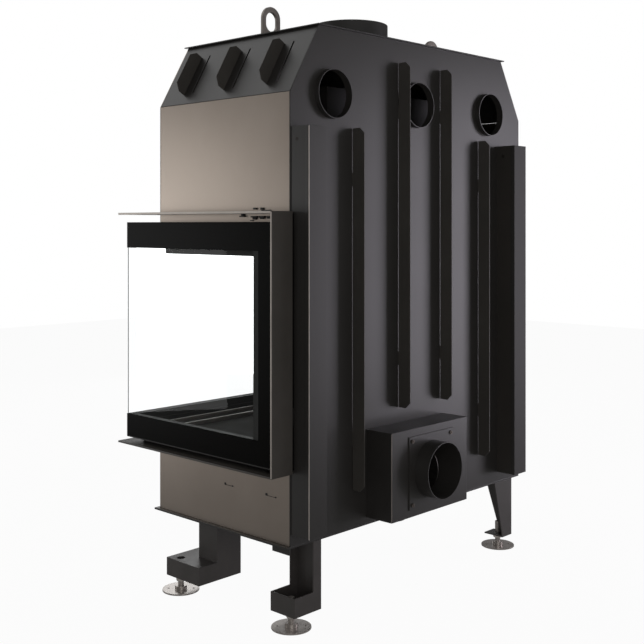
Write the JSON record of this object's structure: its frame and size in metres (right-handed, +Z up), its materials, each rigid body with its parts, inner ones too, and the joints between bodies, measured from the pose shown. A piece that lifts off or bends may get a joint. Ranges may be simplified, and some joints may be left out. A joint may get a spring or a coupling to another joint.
{
  "type": "corner fireplace insert",
  "caption": "Steel corner fireplace insert with a lift-up corner glass door, flue collar, rear duct collars, outside air inlet and levelling feet.",
  "frame": {"origin": "centre of the bounding box at floor level, under the levelling feet", "axes": "+X to the glazed right side seen from the front, +Y to the back wall, +Z up"},
  "size_m": [1.077, 0.755, 1.576],
  "materials": {
    "casing_grey": "satin",
    "casing_dark": "satin",
    "rib_black": "matte",
    "flue_iron": "satin",
    "eye_steel": "satin",
    "surround_grey": "satin",
    "screw_steel": "satin",
    "bare_steel": "satin",
    "damper_steel": "satin",
    "knob_plastic": "matte",
    "firebox_steel": "matte",
    "fireclay": "matte",
    "seal_fibre": "matte",
    "door_black": "satin",
    "door_glass": "polished",
    "handle_steel": "satin",
    "shoe_bronze": "satin",
    "weight_iron": "matte",
    "cable_steel": "satin",
    "leg_steel": "satin",
    "foot_steel": "satin",
    "nut_zinc": "satin"
  },
  "bodies": {
    "frame_body": {"left_side_wall": "casing_grey", "side_cover_upper": "casing_grey", "side_cover_lower": "casing_grey", "front_cover_upper": "casing_grey", "front_cover_lower": "casing_grey", "back_wall": "casing_dark", "end_pillars": "casing_dark", "bottom_plate": "casing_dark", "top_lid": "casing_dark", "hood_slopes": "casing_dark", "weight_channel_right": "casing_dark", "weight_channel_left": "casing_dark", "channel_covers": "casing_dark", "convection_collars": "casing_dark", "air_box": "casing_dark", "inlet_spigot": "casing_dark", "hood_fins": "rib_black", "back_ribs": "rib_black", "flue_collar": "flue_iron", "lifting_eyes": "eye_steel", "surround_top": "surround_grey", "surround_bottom": "surround_grey", "surround_wings": "surround_grey", "inlet_screws": "screw_steel", "guide_rails": "bare_steel", "pulley_axles": "bare_steel", "firebox_shell": "firebox_steel", "smoke_box": "firebox_steel", "hearth_slab": "fireclay", "lining_back": "fireclay", "lining_left": "fireclay", "baffle_plate": "fireclay", "firebox_seal": "seal_fibre", "cable_overhead": "cable_steel", "leg_front_right": "leg_steel", "leg_rear_right": "leg_steel", "legs_left": "leg_steel", "foot_nuts": "nut_zinc"},
    "door": {"door_frame": "door_black", "side_glass": "door_glass", "front_glass": "door_glass", "door_handle": "handle_steel", "door_carriages": "door_black", "carriage_shoes": "shoe_bronze", "cable_door_runs": "cable_steel"},
    "weight_right_body": {"weight_right": "weight_iron", "cable_weight_run_right": "cable_steel"},
    "weight_left_body": {"weight_left": "weight_iron", "cable_weight_run_left": "cable_steel"},
    "pulley_right_body": {"pulley_right": "bare_steel"},
    "pulley_left_front_body": {"pulley_left_front": "bare_steel"},
    "pulley_left_rear_body": {"pulley_left_rear": "bare_steel"},
    "air_rod_body": {"air_control_rod": "bare_steel", "air_control_knob": "knob_plastic"},
    "damper_body": {"damper_flap": "damper_steel", "damper_spindle": "bare_steel"},
    "foot_front_right_body": {"foot_front_right": "foot_steel"},
    "foot_rear_right_body": {"foot_rear_right": "foot_steel"},
    "foot_rear_left_body": {"foot_rear_left": "foot_steel"},
    "foot_front_left_body": {"foot_front_left": "foot_steel"}
  },
  "joints": [
    {"name": "door_lift", "type": "slide", "parent": "frame_body", "child": "door", "axis": [0, 0, 1], "range_m": [0, 0.456], "deforming": ["cable_door_runs"]},
    {"name": "weight_right_drop", "type": "slide", "parent": "frame_body", "child": "weight_right_body", "axis": [0, 0, -1], "range_m": [0, 0.456], "deforming": ["cable_weight_run_right"]},
    {"name": "weight_left_drop", "type": "slide", "parent": "frame_body", "child": "weight_left_body", "axis": [0, 0, -1], "range_m": [0, 0.456], "deforming": ["cable_weight_run_left"]},
    {"name": "pulley_right_turn", "type": "hinge", "parent": "frame_body", "child": "pulley_right_body", "pos_m": [0.4315, 0.2645, 1.201], "axis": [-1, 0, 0], "range_deg": [0, 1745]},
    {"name": "pulley_left_front_turn", "type": "hinge", "parent": "frame_body", "child": "pulley_left_front_body", "pos_m": [-0.4495, -0.2285, 1.201], "axis": [-1, 0, 0], "range_deg": [0, 1745]},
    {"name": "pulley_left_rear_turn", "type": "hinge", "parent": "frame_body", "child": "pulley_left_rear_body", "pos_m": [-0.4495, 0.2645, 1.201], "axis": [-1, 0, 0], "range_deg": [0, 1745]},
    {"name": "air_rod_pull", "type": "slide", "parent": "frame_body", "child": "air_rod_body", "axis": [0, -1, 0], "range_m": [0, 0.06]},
    {"name": "damper_turn", "type": "hinge", "parent": "frame_body", "child": "damper_body", "pos_m": [0.02, 0.285, 0.3465], "axis": [0, 0, -1], "range_deg": [0, 90]},
    {"name": "foot_front_right_screw", "type": "slide", "parent": "frame_body", "child": "foot_front_right_body", "axis": [0, 0, -1], "range_m": [-0.009, 0.02]},
    {"name": "foot_rear_right_screw", "type": "slide", "parent": "frame_body", "child": "foot_rear_right_body", "axis": [0, 0, -1], "range_m": [-0.009, 0.02]},
    {"name": "foot_rear_left_screw", "type": "slide", "parent": "frame_body", "child": "foot_rear_left_body", "axis": [0, 0, -1], "range_m": [-0.009, 0.02]},
    {"name": "foot_front_left_screw", "type": "slide", "parent": "frame_body", "child": "foot_front_left_body", "axis": [0, 0, -1], "range_m": [-0.009, 0.02]}
  ],
  "couplings": [
    {"joint": "weight_right_drop", "follows": "door_lift", "ratio": 1},
    {"joint": "weight_left_drop", "follows": "door_lift", "ratio": 1},
    {"joint": "pulley_right_turn", "follows": "door_lift", "rad_per_m": 66.667},
    {"joint": "pulley_left_front_turn", "follows": "door_lift", "rad_per_m": 66.667},
    {"joint": "pulley_left_rear_turn", "follows": "door_lift", "rad_per_m": 66.667},
    {"joint": "damper_turn", "follows": "air_rod_pull", "rad_per_m": 26.17}
  ]
}
